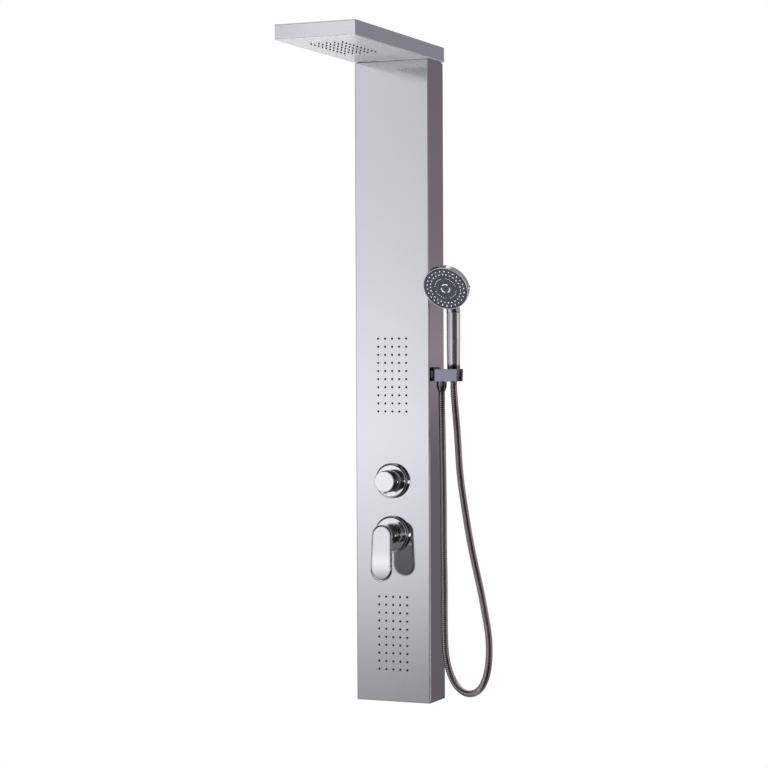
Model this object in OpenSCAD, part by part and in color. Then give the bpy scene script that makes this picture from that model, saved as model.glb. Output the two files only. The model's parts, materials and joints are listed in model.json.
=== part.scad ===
// Rainfall shower column: a flat wall column with two groups of body jets, a rain head,
// a mixer lever, a diverter knob and a hand shower on a flexible hose.
// Millimetres. X to the viewer's right, Y towards the wall, Z up.
// The wall is the plane y = 0, and the origin is the middle of the upper wall bracket's back.
// Inside the modules, z is counted from the bottom edge of the casing.

/* [Column] */
// Width of the casing
column_w = 160; // [158:1:164]
// Depth of the casing, from the wall to its front
column_d = 80; // [80:1:84]
// Height of the casing
column_h = 1288.5; // [1270:0.5:1300]
// Thickness of the sheet metal
sheet_t = 2; // [1.5:0.5:2]
// Height of the upper wall bracket's middle
mount_h = 1180; // [1100:5:1200]
// Height of the lower wall bracket's middle
lower_mount_h = 110; // [100:5:130]

/* [Rain head] */
// Width of the rain head
head_w = 166; // [162:1:172]
// Length of the rain head, from the wall to its front
head_l = 440; // [430:5:450]
// Thickness of the rain head
head_t = 30; // [30:1:34]
// Gap between the casing and the head's underside
head_gap = 1.5; // [1:0.5:2]
// Distance of the front row of rain holes from the wall
rain_front = 369; // [360:1:375]
// Sideways offset of the rain holes
rain_x = -8; // [-10:1:0]

/* [Jets] */
// Radius of each jet hole
jet_r = 2.1; // [1.9:0.1:2.4]
// Distance between the holes of a row of jets
jet_pitch_x = 15.3; // [14:0.1:15.5]
// Distance between the rows of jets
jet_pitch_z = 16.3; // [15:0.1:16.5]
// Distance between the rain holes across the head
rain_pitch_x = 16.4; // [15:0.1:17]
// Distance between the rows of rain holes
rain_pitch_y = 17.1; // [16:0.1:17.5]
// Middle height of the upper jets
upper_jets_z = 658; // [650:1:660]
// Middle height of the lower jets
lower_jets_z = 138; // [134:1:142]

/* [Valves] */
// Height of the diverter's axis
diverter_z = 445.5; // [440:0.5:450]
// Height of the mixer's axis
mixer_z = 338; // [334:1:340]
// Distance that the diverter knob stands out from the casing
knob_out = 44; // [42:1:46]
// Radius of the diverter knob
knob_r = 21; // [20.5:0.5:22]
// Distance that the mixer's paddle stands out from the casing, at its axis
paddle_out = 58; // [57:1:60]

/* [Hand shower] */
// Distance of the hand shower's handle from the middle of the casing
handset_x = 124; // [124:1:126]
// Radius of the spray face
face_r = 45; // [44:0.5:45]
// Height of the middle of the spray face
face_z = 829.5; // [828:0.5:834]
// Angle of the spray face below the horizontal
face_tilt = 30; // [28:1:31]

/* [Hose] */
// Diameter of the hose
hose_d = 14; // [13:0.5:14]

/* [Hidden] */
$fn = 64;

// Casing
half_w = column_w / 2;
panel_front = -column_d;
panel_back = panel_front + sheet_t;
gasket_t = 1.5;
side_front = panel_back + gasket_t;
flange_w = 12;
cross_w = column_w - 2 * sheet_t;

// Wall brackets: a plate on the wall with an upturned lip that a hook on the casing's rail hangs on
bracket_w = 120;
bracket_half_h = 18;
bracket_t = 3;
screw_spacing = 90;
screw_r = 2.75;

// Rain head
head_z = column_h + head_gap;
head_top = head_z + head_t;
head_half = head_w / 2;
riser_top = head_z - 4;

// Jets
jet_cols = 5;
jet_rows = 10;
mat_t = 2;
manifold_t = 11;
manifold_w = 128;
manifold_h = 164;
manifold_back = panel_back + mat_t + manifold_t;
channel_w = 8;
nub_r = jet_r - 0.3;
drop_r = 0.6;

// The rain head's mat and manifold reach past the outer holes
rain_half_w = 72;
rain_edge = 14;
rain_low = -rain_front - rain_edge;
rain_high = -rain_front + (jet_rows - 1) * rain_pitch_y + rain_edge;
rain_rear = rain_high + 12;
rain_base = head_z + sheet_t + mat_t;
socket_half = 14;

// Pipes run up the casing in one plane
pipe_y = -46;
riser_r = 7.5;
branch_r = 6;
branch_x = 57;
pipe_wall = 1;
bend_r = 12;
jet_feed_up = 640;
jet_feed_down = 150;
holder_z = 657.5;

// Valve bodies
escutcheon_t = 10;
escutcheon_front = panel_front - escutcheon_t;
barrel_front = panel_back + 2;
barrel_back = -30;
diverter_barrel_r = 25;
diverter_neck_r = 18;
diverter_escutcheon_r = 35.5;
mixer_barrel_r = 27;
mixer_neck_r = 20;
mixer_escutcheon_r = 37;
port_len = 7;
side_port_x = 42;
inlet_x = 36;
inlet_r = 12.5;
inlet_bore_r = 9.3;
inlet_back = -12;
inlet_depth = 16;
inlet_passage_r = 6;
spindle_r = 5;
run_gap = 0.05;

// Mixer lever: the paddle tilts on a cross pin in the spindle's head
lever_pivot_y = escutcheon_front - 16;
hub_r = 22;
hub_back = escutcheon_front - 6;
hub_recess_r = 16.5;
hub_recess_back = lever_pivot_y - 10;
paddle_front = panel_front - paddle_out;
paddle_t = 6;
paddle_top_r = 22;
paddle_low_r = 23.6;
paddle_drop = 67;
paddle_lean = 3.6;
pin_r = 2;

// Hand shower and its holder
handset_y = -57;
outlet_x = 98;
cradle_top = 670;
cradle_bottom = 645;
cradle_half_d = 16;
cradle_end_x = handset_x + 14;
base_t = 8;
cone_top = 676;
cone_bottom = 647;
cone_top_r = 13.5;
cone_low_r = 9.8;
nut_bottom = 627;
handle_top = 782;
handle_r = 14;
face_y = -99;
rim_r = face_r + 2;
ring_gap = 0.3;
ring_depth = 9;
nozzle_ring = 26;
nozzle_r = 1.3;

// The hose hangs from the outlet nut, turns up in one loop and returns to the cone nut
HOSE_ROUTE = [
    [98, -57, 627], [98, -57, 596], [99, -57, 545], [100, -57, 480], [101, -57, 400], [101, -57, 320],
    [102, -57, 240], [102, -57, 175], [103, -57, 120], [108, -60, 86], [119, -66, 58], [136, -76, 38],
    [157, -88, 28], [179, -100, 29], [198, -110, 40], [211, -116, 59], [219, -120, 84], [222, -121, 115],
    [220, -120, 150], [212, -118, 192], [202, -115, 236], [180, -105, 314], [165, -97, 378],
    [148, -85, 461], [137, -72, 545], [127, -60, 605], [124, -57, 632], [124, -57, 647]
];
hose_sides = 10;
hose_steps = 2;
loop_normal = [-0.45, 0.89, 0];

// Everything is drawn above the casing's bottom edge and lowered to the origin
module placed() {
    translate([0, 0, -mount_h]) children();
}

// An outline of y and z, extruded along X and centred on x = 0
module along_x(width) {
    rotate([90, 0, 90]) linear_extrude(height = width, center = true) children();
}

// An outline of x and z, extruded from y = 0 towards the front
module toward_front(depth) {
    rotate([90, 0, 0]) linear_extrude(height = depth) children();
}

// A profile of radius and distance to the front, turned about the Y axis
module turned_y() {
    rotate([90, 0, 0]) rotate_extrude() children();
}

// A straight round bar along Y, from back to front
module bar_y(r, back, front) {
    translate([0, back, 0]) rotate([90, 0, 0]) cylinder(r = r, h = back - front);
}

// A plate given by its lowest and highest corners
module plate(low, high) {
    translate(low) cube(high - low);
}

module at_diverter() {
    translate([0, 0, diverter_z]) children();
}

module at_mixer() {
    translate([0, 0, mixer_z]) children();
}

// Children at each hole of a group of body jets, on the casing's front
module at_jets(middle_z) {
    for (i = [0 : jet_cols - 1], j = [0 : jet_rows - 1])
        translate([
            (i - (jet_cols - 1) / 2) * jet_pitch_x,
            0,
            middle_z + (j - (jet_rows - 1) / 2) * jet_pitch_z
        ]) children();
}

// Children at each rain hole, on the head's underside
module at_rain() {
    for (i = [0 : jet_cols - 1], j = [0 : jet_rows - 1])
        translate([
            rain_x + (i - (jet_cols - 1) / 2) * rain_pitch_x,
            -rain_front + j * rain_pitch_y,
            head_z
        ]) children();
}

// ---- Casing ----

module front_panel() {
    placed() color("lightgray") difference() {
        plate([-half_w, panel_front, 0], [half_w, panel_back, column_h]);
        at_jets(upper_jets_z) bar_y(jet_r, panel_back + 1, panel_front - 1);
        at_jets(lower_jets_z) bar_y(jet_r, panel_back + 1, panel_front - 1);
        at_diverter() bar_y(diverter_neck_r + 0.5, panel_back + 1, panel_front - 1);
        at_mixer() bar_y(mixer_neck_r + 0.5, panel_back + 1, panel_front - 1);
    }
}

// One folded side of the casing, with a flange behind the front panel and one along the wall
module side_sheet() {
    translate([0, 0, sheet_t]) linear_extrude(height = column_h - sheet_t) polygon([
        [half_w, 0], [half_w, side_front], [half_w - flange_w - sheet_t, side_front],
        [half_w - flange_w - sheet_t, side_front + sheet_t], [half_w - sheet_t, side_front + sheet_t],
        [half_w - sheet_t, -sheet_t], [half_w - flange_w - sheet_t, -sheet_t],
        [half_w - flange_w - sheet_t, 0]
    ]);
}

module left_side_panel() {
    placed() color("dimgray") mirror([1, 0, 0]) side_sheet();
}

module right_side_panel() {
    placed() color("dimgray") difference() {
        side_sheet();
        translate([half_w - sheet_t - 1, pipe_y, holder_z]) rotate([0, 90, 0])
            cylinder(r = branch_r + 0.5, h = sheet_t + 2);
    }
}

module panel_gaskets() {
    placed() color("black") for (side = [0, 1]) mirror([side, 0, 0])
        plate([half_w - 10, panel_back, 1], [half_w - 1, side_front, column_h - 1]);
}

module bottom_cap() {
    placed() color("dimgray") plate([-half_w, side_front, 0], [half_w, 0, sheet_t]);
}

// The channel inside the casing's top that carries the rain head
module head_saddle() {
    outer = cross_w / 2;
    inner = outer - sheet_t;
    low = head_z - 24;
    placed() color("silver") difference() {
        translate([0, -4, 0]) toward_front(column_d - 16) polygon([
            [-outer, low], [-outer, head_z], [outer, head_z], [outer, low],
            [inner, low], [inner, head_z - sheet_t], [-inner, head_z - sheet_t], [-inner, low]
        ]);
        translate([0, pipe_y, head_z - 5]) cylinder(r = riser_r + 1, h = 10);
    }
}

// A rail across the casing with a hook that drops behind the bracket's lip
module cross_rail() {
    along_x(cross_w) polygon([
        [-13, -20], [-11, -20], [-11, 28], [-4.7, 28], [-4.7, 19], [-3.2, 19], [-3.2, 30], [-13, 30]
    ]);
}

module upper_cross_rail() {
    color("silver") cross_rail();
}

module lower_cross_rail() {
    placed() translate([0, 0, lower_mount_h]) color("silver") cross_rail();
}

module wall_bracket() {
    difference() {
        along_x(bracket_w) polygon([
            [0, -bracket_half_h], [0, bracket_half_h], [-5, bracket_half_h], [-5, bracket_half_h + 8],
            [-8, bracket_half_h + 8], [-8, bracket_half_h - 3], [-bracket_t, bracket_half_h - 3],
            [-bracket_t, -bracket_half_h]
        ]);
        for (side = [-1, 1]) translate([side * screw_spacing / 2, 0, 0])
            bar_y(screw_r, 1, -bracket_t - 1);
    }
}

module upper_wall_bracket() {
    color("gray") wall_bracket();
}

module lower_wall_bracket() {
    placed() translate([0, 0, lower_mount_h]) color("gray") wall_bracket();
}

// ---- Rain head ----

module head_top_cover() {
    placed() color("lightgray")
        plate([-head_half, -head_l, head_top - sheet_t], [head_half, 0, head_top]);
}

module head_front_plate() {
    placed() color("gainsboro")
        plate([-head_half, -head_l, head_z + sheet_t], [head_half, -head_l + sheet_t, head_top - sheet_t]);
}

module head_side() {
    plate([head_half - sheet_t, -head_l + sheet_t, head_z + sheet_t],
        [head_half, -sheet_t, head_top - sheet_t]);
}

module head_left_plate() {
    placed() color("lightslategray") mirror([1, 0, 0]) head_side();
}

module head_right_plate() {
    placed() color("lightslategray") head_side();
}

module head_back_plate() {
    placed() color("gray")
        plate([-head_half, -sheet_t, head_z + sheet_t], [head_half, 0, head_top - sheet_t]);
}

module rain_spray_plate() {
    placed() color("lightgray") difference() {
        plate([-head_half, -head_l, head_z], [head_half, 0, head_z + sheet_t]);
        at_rain() translate([0, 0, -1]) cylinder(r = jet_r, h = sheet_t + 2);
        translate([0, pipe_y, head_z - 1]) cylinder(r = riser_r + 1, h = sheet_t + 2);
    }
}

module rain_nozzle_mat() {
    placed() color("dimgray") difference() {
        union() {
            plate([rain_x - rain_half_w, rain_low, head_z + sheet_t],
                [rain_x + rain_half_w, rain_high, rain_base]);
            at_rain() translate([0, 0, 0.6]) cylinder(r = nub_r, h = sheet_t);
        }
        at_rain() translate([0, 0, -1]) cylinder(r = drop_r, h = sheet_t + mat_t + 2);
    }
}

// A block with one water channel over each column of holes and one that joins them at the rear,
// where its socket takes the pipe
module rain_manifold() {
    reach = (jet_cols - 1) / 2 * rain_pitch_x;
    placed() color("white") difference() {
        union() {
            plate([rain_x - rain_half_w, rain_low, rain_base],
                [rain_x + rain_half_w, rain_high, rain_base + manifold_t]);
            plate([-socket_half, rain_high, rain_base], [socket_half, rain_rear, rain_base + 18]);
        }
        for (i = [0 : jet_cols - 1])
            translate([rain_x - reach + i * rain_pitch_x - channel_w / 2, rain_low + 6, rain_base - 1])
                cube([channel_w, rain_high - rain_low - 12, channel_w]);
        plate([rain_x - reach, rain_high - 14, rain_base - 1],
            [rain_x + reach, rain_high - 6, rain_base + channel_w - 1]);
        translate([0, 0, rain_base + riser_r]) bar_y(5, rain_rear + 1, rain_high - 10);
    }
}

module rain_inlet_elbow() {
    rise = rain_base + riser_r - bend_r - riser_top;
    placed() translate([0, pipe_y, riser_top]) rotate([0, 0, -90]) color("silver")
        elbow_pipe(riser_r, rise, pipe_y - bend_r - rain_rear);
}

// ---- Jets ----

module jet_mat(middle_z) {
    difference() {
        union() {
            plate([-manifold_w / 2, panel_back, middle_z - manifold_h / 2],
                [manifold_w / 2, panel_back + mat_t, middle_z + manifold_h / 2]);
            at_jets(middle_z) bar_y(nub_r, panel_back, panel_front + 0.6);
        }
        at_jets(middle_z) bar_y(drop_r, panel_back + mat_t + 1, panel_front - 1);
    }
}

// A block with one water channel behind each column of jets and one across that feeds them
module jet_manifold(middle_z, feed_z) {
    front = panel_back + mat_t;
    difference() {
        plate([-manifold_w / 2, front, middle_z - manifold_h / 2],
            [manifold_w / 2, manifold_back, middle_z + manifold_h / 2]);
        for (i = [0 : jet_cols - 1])
            translate([(i - 2) * jet_pitch_x - channel_w / 2, front - 1, middle_z - manifold_h / 2 + 4])
                cube([channel_w, channel_w, manifold_h - 8]);
        plate([-branch_x - channel_w / 2, front - 1, feed_z - channel_w / 2],
            [2 * jet_pitch_x, front + 7, feed_z + channel_w / 2]);
        translate([-branch_x, 0, feed_z]) bar_y(branch_r - pipe_wall, manifold_back + 1, front);
    }
}

module upper_jet_mat() {
    placed() color("dimgray") jet_mat(upper_jets_z);
}

module upper_jet_manifold() {
    placed() color("white") jet_manifold(upper_jets_z, jet_feed_up);
}

module lower_jet_mat() {
    placed() color("dimgray") jet_mat(lower_jets_z);
}

module lower_jet_manifold() {
    placed() color("white") jet_manifold(lower_jets_z, jet_feed_down);
}

// ---- Valves ----

// A round cover with a rounded rim, standing on the casing
module escutcheon(r, hole_r) {
    rim = 4.5;
    translate([0, panel_front, 0]) turned_y() polygon(concat(
        [[hole_r, 0], [r, 0], [r, escutcheon_t - rim]],
        [for (a = [15 : 15 : 90]) [r - rim + rim * cos(a), escutcheon_t - rim + rim * sin(a)]],
        [[hole_r, escutcheon_t]]
    ));
}

// A turned barrel with a threaded neck that reaches through the casing
module valve_barrel(barrel_r, neck_r) {
    bar_y(barrel_r, barrel_back, barrel_front);
    bar_y(neck_r, barrel_front + 1, escutcheon_front);
}

module mixer_valve_body() {
    placed() at_mixer() color("goldenrod") difference() {
        union() {
            valve_barrel(mixer_barrel_r, mixer_neck_r);
            for (side = [-1, 1]) {
                translate([side * inlet_x, 0, 0]) bar_y(inlet_r, inlet_back, pipe_y - 12);
                translate([0, pipe_y, 0]) rotate([0, side * 90, 0]) cylinder(r = 8, h = inlet_x);
            }
            translate([0, pipe_y, 0]) cylinder(r = 10, h = mixer_barrel_r + port_len);
        }
        bar_y(mixer_neck_r - 4, barrel_back - 12, escutcheon_front - 1);
        for (side = [-1, 1]) {
            translate([side * inlet_x, 0, 0]) bar_y(inlet_bore_r, inlet_back + 1, inlet_back - inlet_depth);
            translate([side * inlet_x, 0, 0]) bar_y(inlet_passage_r, inlet_back, pipe_y - 6);
            translate([side * inlet_x, pipe_y, 0]) rotate([0, -side * 90, 0])
                cylinder(r = 5, h = inlet_x - 10);
        }
        translate([0, pipe_y, 10]) cylinder(r = 6, h = mixer_barrel_r + port_len);
    }
}

module diverter_valve_body() {
    placed() at_diverter() color("goldenrod") difference() {
        union() {
            valve_barrel(diverter_barrel_r, diverter_neck_r);
            translate([0, pipe_y, 0]) rotate([0, 90, 0])
                cylinder(r = 9, h = 2 * side_port_x, center = true);
            translate([0, pipe_y, -diverter_barrel_r - port_len])
                cylinder(r = 10, h = 2 * (diverter_barrel_r + port_len));
        }
        bar_y(diverter_neck_r - 4, barrel_back - 12, escutcheon_front - 1);
        for (side = [-1, 1]) {
            translate([side * 10, pipe_y, 0]) rotate([0, side * 90, 0]) cylinder(r = 4.5, h = side_port_x);
            translate([0, pipe_y, 0]) mirror([0, 0, (side + 1) / 2]) translate([0, 0, 10])
                cylinder(r = 6, h = diverter_barrel_r + port_len);
        }
    }
}

// A ceramic cartridge with a blind bore that the spindle turns in
module cartridge(r, front) {
    difference() {
        bar_y(r - 0.1, barrel_back - 12.2, front);
        bar_y(spindle_r + run_gap, -62, front - 1);
    }
}

module mixer_cartridge() {
    placed() at_mixer() color("whitesmoke") cartridge(mixer_neck_r - 4, escutcheon_front + 6);
}

module diverter_cartridge() {
    placed() at_diverter() color("whitesmoke") cartridge(diverter_neck_r - 4, escutcheon_front + 6);
}

// A ring screwed into the neck, in front of the cartridge
module retaining_nut(r) {
    difference() {
        bar_y(r - 0.1, escutcheon_front + 5.8, escutcheon_front);
        bar_y(spindle_r + 1, escutcheon_front + 7, escutcheon_front - 1);
        for (side = [-1, 1]) translate([side * (r - 4), 0, 0])
            bar_y(1.2, escutcheon_front + 3, escutcheon_front - 1);
    }
}

module mixer_retaining_nut() {
    placed() at_mixer() color("goldenrod") retaining_nut(mixer_neck_r - 4);
}

module diverter_retaining_nut() {
    placed() at_diverter() color("goldenrod") retaining_nut(diverter_neck_r - 4);
}

module mixer_escutcheon() {
    placed() at_mixer() color("silver") escutcheon(mixer_escutcheon_r, mixer_neck_r + 0.2);
}

module diverter_escutcheon() {
    placed() at_diverter() color("silver") escutcheon(diverter_escutcheon_r, diverter_neck_r + 0.2);
}

// A washer that covers the valve's neck, with a short sleeve around the spindle
module mixer_collar() {
    placed() at_mixer() color("silver") difference() {
        union() {
            bar_y(mixer_neck_r + 0.4, escutcheon_front, escutcheon_front - 0.6);
            bar_y(12, escutcheon_front, escutcheon_front - 5.5);
        }
        bar_y(spindle_r + 1, escutcheon_front + 1, escutcheon_front - 7);
    }
}

module mixer_spindle() {
    placed() at_mixer() color("gray") difference() {
        union() {
            bar_y(spindle_r, -64, lever_pivot_y);
            bar_y(9, lever_pivot_y + 7, lever_pivot_y - 7);
        }
        translate([0, lever_pivot_y, 0]) rotate([0, 90, 0])
            cylinder(r = pin_r + 0.02, h = 30, center = true);
    }
}

module mixer_pin() {
    placed() at_mixer() color("gray") translate([0, lever_pivot_y, 0]) rotate([0, 90, 0])
        cylinder(r = pin_r, h = 2 * hub_r - 1.6, center = true);
}

// The paddle's outline, drawn in by an inset: two arcs joined by their tangents, the lower one wider
module paddle_outline(inset) {
    top_r = paddle_top_r - inset;
    low_r = paddle_low_r - inset;
    slope = asin((low_r - top_r) / paddle_drop);
    circle(r = top_r);
    translate([0, -paddle_drop]) circle(r = low_r);
    polygon([
        [-top_r * cos(slope), top_r * sin(slope)],
        [top_r * cos(slope), top_r * sin(slope)],
        [low_r * cos(slope), -paddle_drop + low_r * sin(slope)],
        [-low_r * cos(slope), -paddle_drop + low_r * sin(slope)]
    ]);
}

// The paddle is widest near its front and steps in towards its back
module mixer_lever() {
    chamfer = 4;
    hub_len = hub_back - paddle_front - paddle_t + 2.5;
    placed() at_mixer() color("silver") difference() {
        union() {
            translate([0, hub_back, 0]) turned_y() polygon([
                [0, 0], [hub_r - chamfer, 0], [hub_r - 0.4, chamfer], [hub_r - 1.4, hub_len / 2],
                [hub_r - 0.4, hub_len], [0, hub_len]
            ]);
            translate([0, paddle_front + paddle_t, 0]) rotate([-paddle_lean, 0, 0]) {
                toward_front(paddle_t) paddle_outline(2.4);
                toward_front(paddle_t - 1) paddle_outline(1.2);
                translate([0, -1.2, 0]) toward_front(paddle_t - 2) paddle_outline(0);
            }
        }
        bar_y(hub_recess_r, hub_back + 1, hub_recess_back);
        translate([0, lever_pivot_y, 0]) rotate([0, 90, 0])
            cylinder(r = pin_r + run_gap, h = 2 * hub_r - 1.4, center = true);
    }
}

// Perforated strainers pressed into the passages behind the two supply threads
module inlet_strainers() {
    back = inlet_back - inlet_depth - 1;
    placed() at_mixer() color("silver") for (side = [-1, 1])
        translate([side * inlet_x, 0, 0]) difference() {
            bar_y(inlet_passage_r - 0.1, back, back - 2);
            for (a = [0 : 60 : 300]) translate([3.4 * cos(a), 0, 3.4 * sin(a)])
                bar_y(1, back + 1, back - 3);
        }
}

module diverter_spindle() {
    placed() at_diverter() color("gray") bar_y(spindle_r, -64, panel_front - knob_out + 6);
}

// A flat-fronted knob with swelling flanks and a small pointer at its lower edge
module diverter_knob() {
    front = panel_front - knob_out;
    back = escutcheon_front - 0.5;
    depth = back - front;
    edge = 1;
    swell = 1.6;
    placed() at_diverter() color("silver") difference() {
        union() {
            translate([0, back, 0]) turned_y() polygon(concat(
                [[0, 0], [knob_r - edge, 0]],
                [for (t = [0 : 10]) [knob_r + swell * sin(180 * t / 10), edge + (depth - 2 * edge) * t / 10]],
                [[knob_r - edge, depth], [0, depth]]
            ));
            plate([-2, front + 1, -knob_r - 3.5], [2, front + 11, -knob_r + 2]);
        }
        bar_y(knob_r - 5, back + 1, back - 8);
        bar_y(spindle_r + 0.02, back, front + 5.9);
        translate([0, back - 16, 0]) mirror([0, 0, 1]) cylinder(r = 2.1, h = knob_r + 5);
    }
}

module diverter_grub_screw() {
    placed() at_diverter() color("gray") translate([0, escutcheon_front - 16.5, -spindle_r - 0.1])
        mirror([0, 0, 1]) difference() {
            cylinder(r = 2.05, h = 10);
            translate([0, 0, 7.5]) cylinder(r = 1.1, h = 5, $fn = 6);
        }
}

// ---- Pipes ----

// A straight tube along Z
module tube(r, len) {
    difference() {
        cylinder(r = r, h = len);
        translate([0, 0, -1]) cylinder(r = r - pipe_wall, h = len + 2);
    }
}

// A quarter of a bent tube in the X-Z plane, turning on from the start angle
module quarter_bend(r, start) {
    rotate([90, 0, 0]) rotate([0, 0, start]) difference() {
        rotate_extrude(angle = 90) translate([bend_r, 0]) circle(r = r);
        rotate_extrude(angle = 90) translate([bend_r, 0]) circle(r = r - pipe_wall);
    }
}

// A tube that rises along Z, bends and runs out along X
module elbow_pipe(r, rise, run) {
    tube(r, rise);
    translate([bend_r, 0, rise]) quarter_bend(r, 90);
    translate([bend_r, 0, rise + bend_r]) rotate([0, 90, 0]) tube(r, run);
}

module link_pipe() {
    low = mixer_z + mixer_barrel_r + port_len;
    high = diverter_z - diverter_barrel_r - port_len;
    placed() translate([0, pipe_y, low]) color("peru") tube(riser_r, high - low);
}

module riser_pipe() {
    low = diverter_z + diverter_barrel_r + port_len;
    placed() translate([0, pipe_y, low]) color("peru") tube(riser_r, riser_top - low);
}

module jet_tee() {
    placed() translate([-branch_x, pipe_y, diverter_z]) color("goldenrod") difference() {
        union() {
            cylinder(r = 8, h = 28, center = true);
            rotate([0, 90, 0]) cylinder(r = 8, h = branch_x - side_port_x);
        }
        cylinder(r = 5, h = 30, center = true);
        rotate([0, 90, 0]) cylinder(r = 4.5, h = branch_x);
    }
}

module upper_jet_pipe() {
    low = diverter_z + 14;
    placed() translate([-branch_x, pipe_y, low]) rotate([0, 0, -90]) color("peru")
        elbow_pipe(branch_r, jet_feed_up - bend_r - low, pipe_y - bend_r - manifold_back);
}

module lower_jet_pipe() {
    high = diverter_z - 14;
    placed() translate([-branch_x, pipe_y, high]) mirror([0, 0, 1]) rotate([0, 0, -90]) color("peru")
        elbow_pipe(branch_r, high - bend_r - jet_feed_down, pipe_y - bend_r - manifold_back);
}

module hand_shower_pipe() {
    first = branch_x - bend_r - side_port_x;
    rise = holder_z - diverter_z - 2 * bend_r;
    placed() translate([branch_x, pipe_y, diverter_z]) color("peru") {
        translate([-bend_r - first, 0, 0]) rotate([0, 90, 0]) tube(branch_r, first);
        translate([-bend_r, 0, bend_r]) quarter_bend(branch_r, 270);
        translate([0, 0, bend_r]) elbow_pipe(branch_r, rise, half_w - branch_x - bend_r);
    }
}

// A hexagonal union nut around a pipe along Z
module union_nut(r) {
    difference() {
        cylinder(r = r + 5, h = 9, $fn = 6);
        translate([0, 0, -1]) cylinder(r = r + 0.1, h = 11);
    }
}

module pipe_nuts() {
    mixer_top = mixer_z + mixer_barrel_r + port_len;
    diverter_low = diverter_z - diverter_barrel_r - port_len;
    diverter_high = diverter_z + diverter_barrel_r + port_len;
    placed() color("goldenrod") {
        translate([0, pipe_y, mixer_top + 0.5]) union_nut(riser_r);
        translate([0, pipe_y, diverter_low - 9.5]) union_nut(riser_r);
        translate([0, pipe_y, diverter_high + 0.5]) union_nut(riser_r);
        translate([-branch_x, pipe_y, diverter_z + 14.5]) union_nut(branch_r);
        translate([-branch_x, pipe_y, diverter_z - 23.5]) union_nut(branch_r);
        translate([branch_x, pipe_y, diverter_z + bend_r + 4]) union_nut(branch_r);
    }
}

// ---- Hand shower's holder ----

// The rounded foot between the cradle and the casing's side
module holder_base() {
    corner_r = 8;
    half_d = 18;
    half_h = 14;
    placed() translate([half_w + base_t / 2, handset_y, (cradle_top + cradle_bottom) / 2 + 2.5])
        color("dimgray") difference() {
            along_x(base_t) {
                square([2 * half_d, 2 * (half_h - corner_r)], center = true);
                square([2 * (half_d - corner_r), 2 * half_h], center = true);
                for (sy = [-1, 1], sz = [-1, 1])
                    translate([sy * (half_d - corner_r), sz * (half_h - corner_r)]) circle(r = corner_r);
            }
            translate([0, pipe_y - handset_y, holder_z - (cradle_top + cradle_bottom) / 2 - 2.5])
                rotate([0, 90, 0]) cylinder(r = 3.5, h = base_t + 2, center = true);
        }
}

// The arm that the hose's cone nut sits in: a conical seat with a slot at its end for the hose
module handset_cradle() {
    start = half_w + base_t;
    slot_half = 8.2;
    taper = (cone_top_r - cone_low_r) / (cone_top - cone_bottom);
    placed() color("silver") difference() {
        translate([0, handset_y + cradle_half_d, 0]) toward_front(2 * cradle_half_d) polygon([
            [start, cradle_bottom], [start, cradle_top], [cradle_end_x, cradle_top],
            [cradle_end_x - 1, cradle_bottom]
        ]);
        translate([handset_x, handset_y, cradle_bottom - 1]) cylinder(
            r1 = cone_low_r + ring_gap - 3 * taper,
            r2 = cone_low_r + ring_gap + (cradle_top + 1 - cone_bottom) * taper,
            h = cradle_top - cradle_bottom + 2
        );
        plate([handset_x, handset_y - slot_half, cradle_bottom - 1],
            [cradle_end_x + 1, handset_y + slot_half, cradle_top + 1]);
        translate([start - 1, pipe_y, holder_z]) rotate([0, 90, 0])
            cylinder(r = 3.5, h = outlet_x - start + 1);
        translate([outlet_x, 0, holder_z]) bar_y(3.5, pipe_y + 2, handset_y);
        translate([outlet_x, handset_y, cradle_bottom - 1]) cylinder(r = 5, h = holder_z - cradle_bottom + 4);
    }
}

module outlet_nipple() {
    placed() translate([outlet_x, handset_y, nut_bottom + 6]) color("silver")
        difference() {
            cylinder(r = 8, h = cradle_bottom - nut_bottom - 6);
            translate([0, 0, -1]) cylinder(r = 5, h = cradle_bottom - nut_bottom);
        }
}

module outlet_nut() {
    placed() translate([outlet_x, handset_y, nut_bottom]) color("silver") rotate_extrude() polygon([
        [4, 0], [7.8, 0], [10.5, 8], [10.5, 17.5], [8.1, 17.5], [8.1, 5.5], [4, 5.5]
    ]);
}

// ---- Hose ----

function spline_point(a, b, c, d, t) =
    0.5 * (2 * b + (c - a) * t + (2 * a - 5 * b + 4 * c - d) * t * t + (3 * b - a - 3 * c + d) * t * t * t);

hose_last = len(HOSE_ROUTE) - 1;

function route(i) = HOSE_ROUTE[max(0, min(hose_last, i))];

HOSE_PATH = concat(
    [for (i = [0 : hose_last - 1], s = [0 : hose_steps - 1])
        spline_point(route(i - 1), route(i), route(i + 1), route(i + 2), s / hose_steps)],
    [route(hose_last)]
);
path_last = len(HOSE_PATH) - 1;

function unit(v) = v / norm(v);

// Direction of the hose at a ring; its two ends point straight along Z
function heading(i) =
    i == 0 ? [0, 0, -1] : i == path_last ? [0, 0, 1] : unit(HOSE_PATH[i + 1] - HOSE_PATH[i - 1]);

function hose_ring(i) =
    let (across = unit(cross(heading(i), loop_normal)), up = cross(across, heading(i)))
    [for (k = [0 : hose_sides - 1])
        HOSE_PATH[i] + hose_d / 2 * (cos(k * 360 / hose_sides) * across + sin(k * 360 / hose_sides) * up)];

module shower_hose() {
    points = [for (i = [0 : path_last]) each hose_ring(i)];
    sides = [for (i = [0 : path_last - 1], k = [0 : hose_sides - 1])
        let (a = i * hose_sides, b = a + hose_sides, next = (k + 1) % hose_sides)
        [a + k, b + k, b + next, a + next]];
    first = [for (k = [0 : hose_sides - 1]) k];
    last = [for (k = [hose_sides - 1 : -1 : 0]) path_last * hose_sides + k];
    placed() color("silver") polyhedron(points = points, faces = concat(sides, [first, last]));
}

// ---- Hand shower ----

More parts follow.
